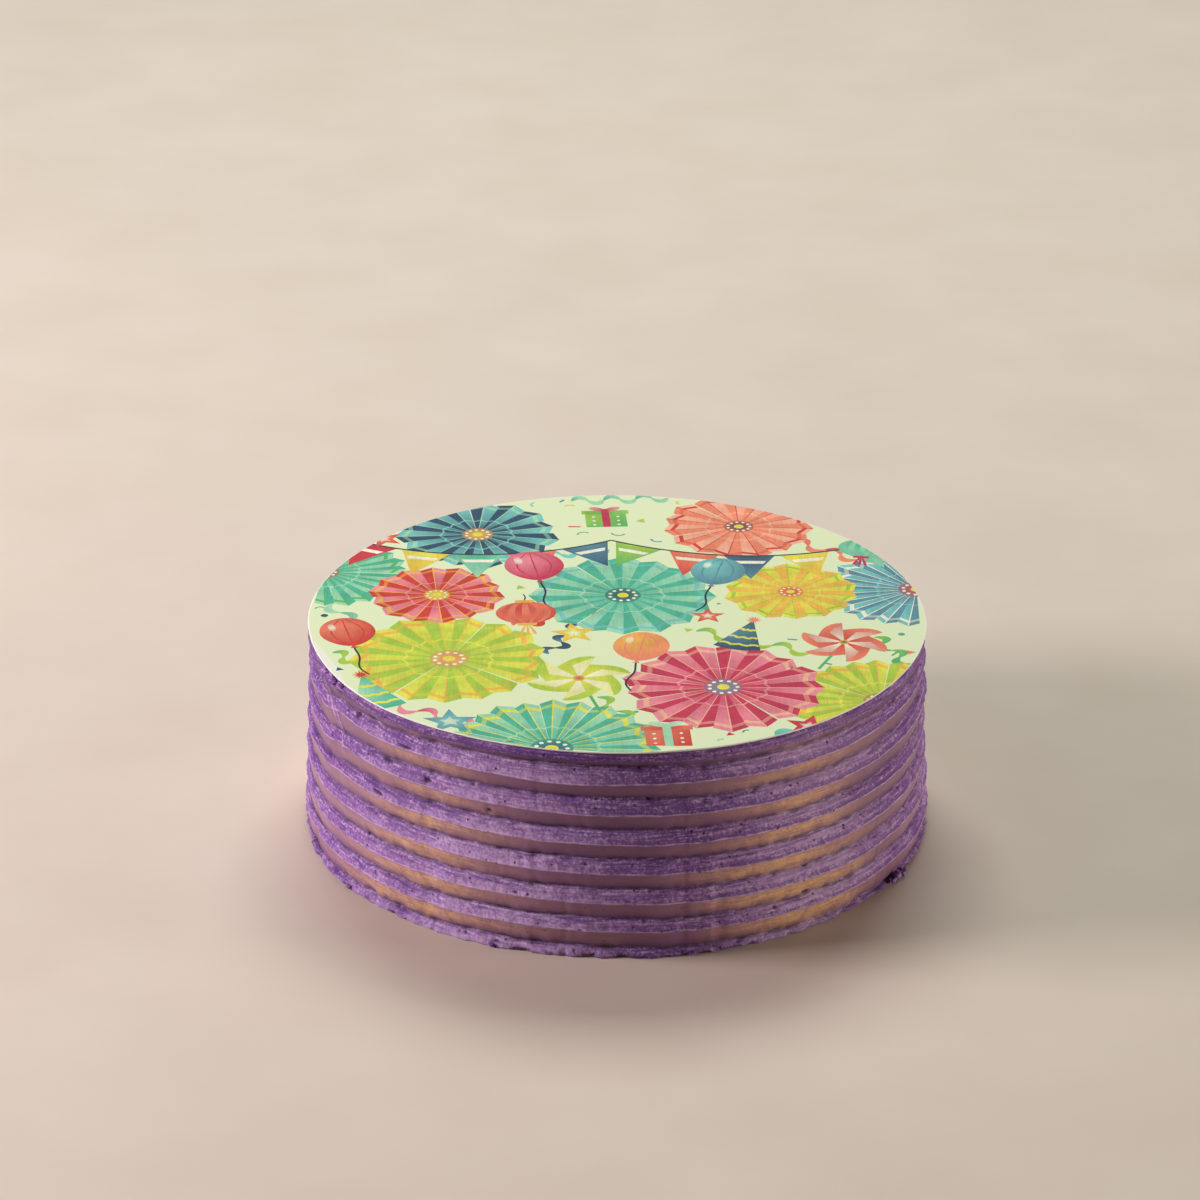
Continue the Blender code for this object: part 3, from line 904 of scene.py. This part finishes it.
def giftBox(x, y, size, turn, light, dark, ribbon):
    # a wrapped box: body, dots, wider lid, a ribbon down the middle, and a bow of two loops
    middle = (x, y)

    def bar(halfWidth, low, high):
        corners = np.array([(-halfWidth, low), (halfWidth, low), (halfWidth, high), (-halfWidth, high)])
        return spinPoints(corners * size, turn, middle)

    ink(bar(0.42, -0.5, 0.22), light, dark, spinPoints((-size * 0.42, 0.2 * size), turn, middle), size)
    for i in range(3):
        for side in (-1, 1):
            at = spinPoints((side * size * 0.25, -size * 0.38 + i * size * 0.2), turn, middle)
            dot(*at, size * 0.07, "white")
    ink(bar(0.48, 0.16, 0.34), dark, light, spinPoints((0, size * 0.3), turn, middle), size * 0.7)
    ink(bar(0.08, -0.5, 0.34), ribbon)
    knot = spinPoints((0, size * 0.36), turn, middle)
    t = np.linspace(0, tau, 16, endpoint=False)
    for side in (-1, 1):
        across = side * size * 0.17 * (1 - np.cos(t)) * 0.95
        loop = np.stack([across, size * (0.36 + 0.11 * (1 - np.cos(t)) / 2 + 0.1 * np.sin(t))], -1)
        ink(spinPoints(loop, turn, middle), ribbon, "white", knot, size * 0.8)
    dot(*knot, size * 0.14, ribbon)


def star(x, y, size, turn, light, dark):
    # a five-pointed star, and a paler one half its size inside it
    t = np.arange(10) * tau / 10 + math.pi / 2
    r = np.where(np.arange(10) % 2 == 0, size, size * 0.44)
    tips = np.stack([r * np.cos(t), r * np.sin(t)], -1)
    ink(spinPoints(tips, turn, (x, y)), light, dark, (x, y), size)
    ink(spinPoints(tips * 0.45, turn, (x, y)), "white", light, (x, y), size * 0.5)


def streamer(x, y, length, turn, front, back, swing=2.8, turns=6, width=3.2):
    # a twisted paper streamer: a wave whose half turns are cut into lens shapes in two tones by turns
    s = np.linspace(0, 1, turns * 10 + 1)
    wave = np.stack([s * length, swing * np.sin(s * turns * math.pi)], -1)
    path = spinPoints(wave, turn, (x, y))
    widths = width * (0.25 + 0.75 * np.sin(np.linspace(0, 1, 11) * math.pi))
    for i in range(turns):
        part = path[i * 10:i * 10 + 11]
        tones = (front, back) if i % 2 == 0 else (back, None)
        ink(strokePoints(part, widths), *tones, part[0], length / turns)


def bunting(x0, x1, y, sagDepth, size, tones):
    # a string on a shallow parabola with pointed flags hung along it, one for each pair of tones
    mid, half = (x0 + x1) / 2, (x1 - x0) / 2
    flag = [(-size * 0.45, 0), (size * 0.45, 0), (0, -size)]
    stripe = np.array([(-0.30, -0.22), (0.30, -0.22), (0.24, -0.34), (-0.24, -0.34)]) * size
    for i, (tone, deep) in enumerate(tones):
        at = -1 + (i + 0.5) * 2 / len(tones)
        place = (mid + at * half, y - sagDepth * (1 - at * at))
        tilt = math.degrees(math.atan2(2 * sagDepth * at, half))
        ink(spinPoints(flag, tilt, place), tone, deep, place, size)
        ink(spinPoints(stripe, tilt, place), "white")
    t = np.linspace(-1, 1, 33)
    string = np.stack([mid + t * half, y - sagDepth * (1 - t * t)], -1)
    ink(strokePoints(string, np.full(33, 0.9)), "dark")


# what is printed, in drawing order: middle (mm from the middle of the sheet), size (mm), then as each
# motif asks
streamers = (
    (-98, 14, 44, -62, "teal", "mint"), (-34, -8, 32, 24, "coral", "red"),
    (26, -12, 40, -24, "leaf", "lime"), (50, -90, 44, 34, "teal", "aqua"),
    (-74, -66, 40, -30, "crimson", "pink"), (-70, 84, 36, -34, "leaf", "lime"),
    (60, 62, 40, -36, "crimson", "coral"), (-22, -30, 30, 66, "steel", "navy"),
    (-16, 96, 34, 6, "teal", "mint"), (84, -16, 34, -64, "lime", "leaf"),
    (-36, 46, 34, 14, "teal", "aqua"), (20, 48, 30, -20, "coral", "red"),
    (-6, -62, 36, -58, "leaf", "lime"), (-92, -30, 30, -40, "leaf", "lime"),
)
rosettes = (
    (-20, -99, 34, 13, -8, 196, "mint", "teal", "yellow", "navy"),
    (100, 22, 30, 12, 92, 176, "aqua", "steel", "white", "red"),
    (-99, 34, 28, 12, -92, 180, "mint", "teal", "leaf", "red"),
    (84, -64, 30, 12, 50, 190, "yellow", "lime", "gold", "crimson"),
    (-48, 66, 27, 15, 3, 360, "aqua", "navy", "mint", "gold"),
    (42, 74, 26, 15, 8, 360, "peach", "coral", "red", "dark"),
    (-54, -34, 32, 17, 4, 360, "yellow", "lime", "gold", "coral"),
    (2, 16, 30, 16, 11, 360, "mint", "teal", "aqua", "dark"),
    (58, 20, 22, 14, 2, 360, "yellow", "gold", "lime", "red"),
    (34, -54, 31, 17, 9, 360, "pink", "crimson", "peach", "steel"),
    (-60, 16, 22, 14, 6, 360, "pink", "red", "gold", "yellow"),
)
flagRows = (
    (-92, -2,
     (("crimson", "red"), ("yellow", "gold"), ("teal", "mint"), ("coral", "red"), ("steel", "navy"))),
    (-2, 92,
     (("lime", "leaf"), ("coral", "red"), ("navy", "steel"), ("yellow", "gold"), ("teal", "mint"))),
)
# the share of its size round each motif that confetti keeps out of comes first
motifs = (
    (1.0, pinwheel, -12, -48, 17, 6, 12, "lime", "yellow", "red", 16),
    (1.0, pinwheel, 74, -20, 15, 6, 30, "coral", "red", "navy", -24),
    (0.6, balloon, -28, 40, 24, 10, "pink", "crimson", 2.0),
    (0.6, balloon, 34, 36, 22, -12, "aqua", "steel", -1.6),
    (0.6, balloon, -88, -14, 22, 14, "coral", "red", 1.5),
    (0.6, balloon, 8, -24, 22, -8, "gold", "coral", 1.8),
    (0.6, lantern, -30, 2, 20, 4, "coral", "red", "gold"),
    (0.6, lantern, 84, 56, 17, -8, "mint", "teal", "crimson"),
    (0.5, partyHat, -78, -58, 24, 18, "mint", "teal", "yellow", "red"),
    (0.5, partyHat, 42, -14, 22, -16, "steel", "navy", "yellow", "coral"),
    (0.6, giftBox, 16, -88, 17, 4, "coral", "red", "mint"),
    (0.6, giftBox, -4, 82, 17, 4, "lime", "leaf", "crimson"),
    (1.0, star, -14, -14, 8, 9, "yellow", "gold"),
    (1.0, star, 60, -82, 8, -14, "crimson", "red"),
    (1.0, star, -52, -80, 9, 4, "aqua", "steel"),
    (1.0, star, -80, 62, 7, 20, "coral", "red"),
    (1.0, star, 30, 0, 6, 0, "coral", "red"),
)


def drawConfetti(p, taken):
    # scatters dots, slips, triangles and hooks over the sheet by turns, where nothing else is printed
    draw = np.random.default_rng(p["seed"])
    tones = ("teal", "red", "lime", "steel", "coral", "leaf", "crimson", "gold", "navy", "aqua")
    spots = np.array(taken)
    for i in range(p["confetti"]):
        r, a = 99 * math.sqrt(draw.uniform()), draw.uniform(0, tau)
        x, y, size = r * math.cos(a), r * math.sin(a), draw.uniform(1.1, 2.6)
        kind, tone, spin = i % 4, tones[i % len(tones)], draw.uniform(0, 180)
        if (np.hypot(spots[:, 0] - x, spots[:, 1] - y) < spots[:, 2] + size).any():
            continue
        spots = np.vstack([spots, (x, y, size * 0.9)])
        if kind == 0:
            dot(x, y, size * 1.3, tone)
            continue
        if kind == 1:
            outline = [(-size, -0.5), (size, -0.4), (size * 0.9, 0.5), (-size * 0.9, 0.4)]
        elif kind == 2:
            outline = [(-size * 0.8, -size * 0.5), (size * 0.8, -size * 0.5), (0, size * 0.8)]
        else:
            t = np.linspace(-1.2, 1.2, 7)
            outline = strokePoints(np.stack([size * np.sin(t), size * np.cos(t)], -1), np.full(7, 0.7))
        ink(spinPoints(outline, spin, (x, y)), tone)


def drawParty(p):
    # the whole design, in millimetres from the middle of the sheet, upright for someone at the front;
    # taken lists the places, with their radii, that the confetti leaves alone
    ink(ovalPoints(2 * p["sheetRadius"], 2 * p["sheetRadius"], 360), "bare")
    ink(ovalPoints(2 * p["radius"], 2 * p["radius"], 300), "ground")
    taken = []
    for x, y, length, turn, *tones in streamers:
        streamer(x, y, length, turn, *tones)
        a = math.radians(turn)
        taken += [(x + s * length * math.cos(a), y - s * length * math.sin(a), 5) for s in (0.2, 0.5, 0.8)]
    for row in rosettes:
        rosette(*row)
        taken.append(row[:3])
    for x0, x1, tones in flagRows:
        bunting(x0, x1, 62, 13, 19, tones)
    taken += [(x, 48, 10) for x in range(-84, 88, 8)]
    for room, maker, x, y, size, *rest in motifs:
        maker(x, y, size, *rest)
        taken.append((x, y, size * room))

    start, end, wide = p["worn"]
    a = np.radians(np.linspace(start, end, 16))
    inner = 101.0 - wide * np.sin(np.linspace(0.06, math.pi - 0.06, 16))
    crescent = [np.stack([r * np.cos(a), r * np.sin(a)], -1) for r in (p["radius"] + 0.15, inner)]
    ink(np.vstack([crescent[0], crescent[1][::-1]]), "bare")
    drawConfetti(p, taken)


def sheetHeight(x, y):
    # height of the sheet's face in metres over its plan position in mm: level, with soft waves of 0.1 mm
    # and one low ripple near the front edge
    r, a = np.hypot(x, y), np.arctan2(y, x)
    slow = 0.07 * np.sin(x * 0.061 + 1.1) * np.cos(y * 0.047 - 0.4) + 0.05 * np.sin(a * 5 + r * 0.04)
    near = hump(turnBetween(a, math.radians(280)), 0.09) * hump(r - 98, 4.0)
    return (sheetTop + slow - 0.1 + 0.35 * near * np.sin((r + 8 * a) * 1.2)) * mm


def cutShapes(p):
    # lays the shapes' outlines over each other, with a triangular grid of points between them, cuts the
    # disc into triangles along every outline, and gives each triangle the shape drawn last over it
    corners, outlines = [], []
    for shape in shapes:
        outlines.append(list(range(len(corners), len(corners) + len(shape["points"]))))
        corners.extend(Vector(point) for point in shape["points"].tolist())
    step = p["pointSpacing"]
    n = int(p["radius"] / step) + 1
    gx, gy = np.meshgrid(np.arange(-n, n + 1) * step, np.arange(-n, n + 1) * step * 0.866)
    gx = gx + (np.arange(gx.shape[0]) % 2)[:, None] * step / 2
    inside = np.hypot(gx, gy) < p["radius"] - 1
    corners.extend(Vector(point) for point in np.stack([gx[inside], gy[inside]], -1).tolist())
    # points nearer than the fourth value merge, and the last asks which outlines each triangle lies in
    verts, _, faces, _, _, owners = delaunay_2d_cdt(corners, [], outlines, 0, 1e-5, True)
    verts = np.array([tuple(v) for v in verts])
    top = np.array([max(owner) if owner and 0 in owner else -1 for owner in owners])
    faces = np.array([tuple(f) for f in faces])
    keep = top >= 0
    used, faces = np.unique(faces[keep], return_inverse=True)        # points outside the disc go
    return verts[used], faces.reshape(-1, 3), top[keep]


def inkAt(xy, owner):
    # colour of each triangle corner: the shape's two inks mixed by the distance from its centre
    near, far, centre, reach = (
        np.array([shape[key] for shape in shapes])[owner] for key in ("near", "far", "centre", "reach")
    )
    t = np.clip(np.linalg.norm(xy - centre[:, None, :], axis=2) / reach[:, None], 0, 1)[..., None]
    return near[:, None, :] * (1 - t) + far[:, None, :] * t


def printedSugarPaper():
    # a rolled sheet of starch and sugar, jet-printed with food colours: softly satin and faintly dimpled,
    # with inks that pool and streak like thin paint
    material, tree, shader = newMaterial("printedSugarPaper")
    node = partial(addNode, tree)
    place = (node("TexCoord"), "Object")
    inkColour = node("Attribute", {"attribute_name": "ink"})
    # pools of colour 9 mm wide, and brush streaks 0.8 mm wide and 7 mm long
    pool = node("TexNoise", Vector=place, Scale=110.0, Detail=4.0, Roughness=0.6)
    streakSpace = node("Mapping", Vector=place, Scale=(1250, 140, 300), Rotation=(0, 0, 0.5))
    streak = node("TexNoise", Vector=streakSpace, Scale=1.0, Detail=2.0)
    both = strengthOf(node, [(pool, 0.3, 0.7, 0.84, 1.12), (streak, 0.3, 0.7, 0.93, 1.06)])
    # unprinted paper keeps its even cream, with tone 1
    washed = node("Mix", {"data_type": "FLOAT"}, Factor=(inkColour, "Alpha"), A=1.0, B=both)
    painted = node("VectorMath", {"operation": "SCALE"}, Vector=(inkColour, "Color"), Scale=washed)
    dimple = node("TexNoise", Vector=place, Scale=1400.0, Detail=2.0)
    setInputs(tree, shader, {
        "Base Color": painted,
        "Normal": node("Bump", Height=dimple, Distance=0.00008, Strength=0.5),
        "Roughness": 0.62,
        "IOR": 1.40,
        "Specular IOR Level": 0.2,
    })
    return material


def makeSheet(p):
    # the sheet's face is the cut disc, its edge is a round profile carried along the outline, and its
    # back is flat
    drawParty(p)
    verts, faces, owner = cutShapes(p)
    first, second, third = (verts[faces[:, i]] for i in range(3))
    one, two = second - first, third - first
    turned = one[:, 0] * two[:, 1] - two[:, 0] * one[:, 1] < 0
    faces[turned] = faces[turned][:, ::-1]                           # every face looks up
    sides = np.sort(np.vstack([faces[:, [0, 1]], faces[:, [1, 2]], faces[:, [2, 0]]]), axis=1)
    pairs, counts = np.unique(sides, axis=0, return_counts=True)
    edge = np.unique(pairs[counts == 1])
    edge = edge[np.argsort(np.arctan2(verts[edge, 1], verts[edge, 0]))]
    colours = inkAt(verts[faces], owner)

    angle = np.arctan2(verts[:, 1], verts[:, 0])
    far = np.hypot(verts[:, 0], verts[:, 1])
    turn, wide, most = p["drawnIn"]
    drift = p["drift"][0] * np.sin(3 * angle + 0.7) + p["drift"][1] * np.sin(8 * angle + 2.0)
    drift = drift - most * hump(turnBetween(angle, math.radians(turn)), wide)
    stretch = 1 + drift * smooth((far - 90) / 11) / 101
    x, y = verts[:, 0] * stretch, verts[:, 1] * stretch
    face = np.stack([x * mm, y * mm, sheetHeight(x, y)], -1)
    low = (cakeTop + p["lift"]) * mm
    rings = []
    for out, down in p["edge"]:
        ring = face[edge].copy()
        ring[:, :2] *= 1 + out / p["sheetRadius"]
        ring[:, 2] = low if down is None else ring[:, 2] - down * mm
        rings.append(ring)
    points = np.vstack([face] + rings + [[[0, 0, low]]])
    n = len(edge)
    index = [edge] + [len(face) + i * n + np.arange(n) for i in range(len(rings))]
    bands = zip(index[:-1], index[1:])
    wall = np.vstack([np.stack([a, b, np.roll(b, -1), np.roll(a, -1)], -1) for a, b in bands])
    back = np.stack([np.full(n, len(points) - 1), np.roll(index[-1], -1), index[-1]], -1)

    # each corner's ink, with how far it is printed in the alpha; the edge and back are bare paper
    bare = np.tile(inkValues["bare"], (wall.size + back.size, 1))
    wash = np.append(np.repeat(np.array([shape["wash"] for shape in shapes])[owner], 3), np.zeros(len(bare)))
    tones = np.hstack([np.vstack([colours.reshape(-1, 3), bare]), wash[:, None]])
    piece = addMesh("printed_sheet", points, [faces, wall, back], printedSugarPaper(),
                    cornerColours={"ink": tones})
    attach(piece, "root")
    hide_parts("print_sheet")
    print("sheet printed:", len(shapes), "shapes,", len(faces), "triangles")


makeSheet(printPlan)


# floor and lights

studioRoom = {
    "flat": 2.9,                # m, radius of the level floor
    "cove": 0.7,                # m, radius of the curve between floor and wall
    "wall": 0.95,               # m, height of the wall
    "glow": 0.30,               # how brightly the wall is lit
    "glowFrom": 1.3,            # m from the middle, where the floor's own light begins
    "papers": ("#d6c6bb", "#dbccc2"),
    "air": "#e6ddd5",           # colour of the glow and of the room's faint light
    "airLight": 0.02,
}

studioLights = {
    # name: place (m), size (m), power (W), colour; all face the middle of the cake
    "leftWindow": ((-1.404, -0.123, 0.548), (0.5, 0.5), 23.0, "#fff1f0"),
    "leftHigh": ((-0.71, -0.71, 1.15), (0.5, 0.5), 1.0, "#fff3fb"),
    "rightWindow": ((1.483, -0.182, 0.166), (0.4, 0.2), 12.2, "#fff4dc"),
    "overhead": ((0.0, 1.2, 1.7), (1.2, 0.8), 30.0, "#f5fff6"),
}


def paleFloor(p):
    # a smooth matt studio paper, warm off-white with a faint mottle 60 mm wide; the far floor and the
    # wall are lit on their own, less so at the front
    material, tree, shader = newMaterial("paleStudioPaper")
    node = partial(addNode, tree)
    place = (node("TexCoord"), "Object")
    mottle = node("TexNoise", Vector=place, Scale=16.0, Detail=3.0)
    paper, fleck = (rgba(tone) for tone in p["papers"])
    far = (node("VectorMath", {"operation": "LENGTH"}, i0=place), "Value")
    wide = node("MapRange", {"interpolation_type": "SMOOTHSTEP"},
                Value=far, From_Min=p["glowFrom"], From_Max=p["flat"], To_Max=p["glow"])
    along = (node("SeparateXYZ", Vector=place), "Y")
    setInputs(tree, shader, {
        "Base Color": layOver(node, paper, ((fleck, (mottle, 0.3, 0.7, 0, 1)),)),
        "Emission Strength": strengthOf(node, [(wide,), (along, -2.4, 0, 0.05, 1)]),
        "Emission Color": rgba(p["air"]),
        "Roughness": 0.8,
        "Specular IOR Level": 0.25,
    })
    material.cycles.emission_sampling = "NONE"
    return material


def makeFloor(p):
    # a round level floor that curves up into a low wall: rings about the middle, from the wall's top inwards
    bend = np.linspace(0, np.pi / 2, 9)
    level = [0.5, 1.0, 1.6, 2.2]
    edge = p["flat"] + p["cove"]
    far = np.concatenate([level, p["flat"] + p["cove"] * np.sin(bend), [edge]])[::-1]
    high = np.concatenate([np.zeros(len(level)), p["cove"] * (1 - np.cos(bend)), [p["wall"]]])[::-1]
    t = np.arange(96) * tau / 96
    grid = np.stack([far[:, None] * np.cos(t), far[:, None] * np.sin(t), high[:, None] + 0 * t], -1)
    index = np.arange(far.size * t.size).reshape(far.size, t.size)
    turned = np.roll(index, -1, axis=1)
    quads = np.stack([index[:-1], turned[:-1], turned[1:], index[1:]], -1).reshape(-1, 4)
    fan = np.stack([index[-1], turned[-1], np.full(t.size, far.size * t.size)], -1)
    points = np.vstack([grid.reshape(-1, 3), [[0, 0, 0]]])
    addMesh("studio_floor", points, [quads, fan], paleFloor(p))


def addLight(name, place, size, power, colour):
    # a soft rectangular light that faces the middle of the cake
    data = bpy.data.lights.new(name, "AREA")
    data.shape = "RECTANGLE"
    data.size, data.size_y = size
    data.energy = power
    data.color = [float(c) for c in linearColour(colour)]
    light = bpy.data.objects.new(name, data)
    bpy.context.scene.collection.objects.link(light)
    light.location = place
    aim = Vector((0, 0, cameraPlace["aimHeight"])) - Vector(place)
    light.rotation_euler = aim.to_track_quat("-Z", "Y").to_euler()


def addWorld(p):
    # a faint even light from all sides, in the colour of the room
    world = bpy.data.worlds.new("studioRoom")
    world.use_nodes = True
    background = world.node_tree.nodes["Background"]
    setInputs(world.node_tree, background, {"Color": rgba(p["air"]), "Strength": p["airLight"]})
    bpy.context.scene.world = world


makeFloor(studioRoom)
for name, row in studioLights.items():
    addLight(name, *row)
addWorld(studioRoom)
bpy.context.scene.view_settings.view_transform = "Standard"
print("floor and lights set")
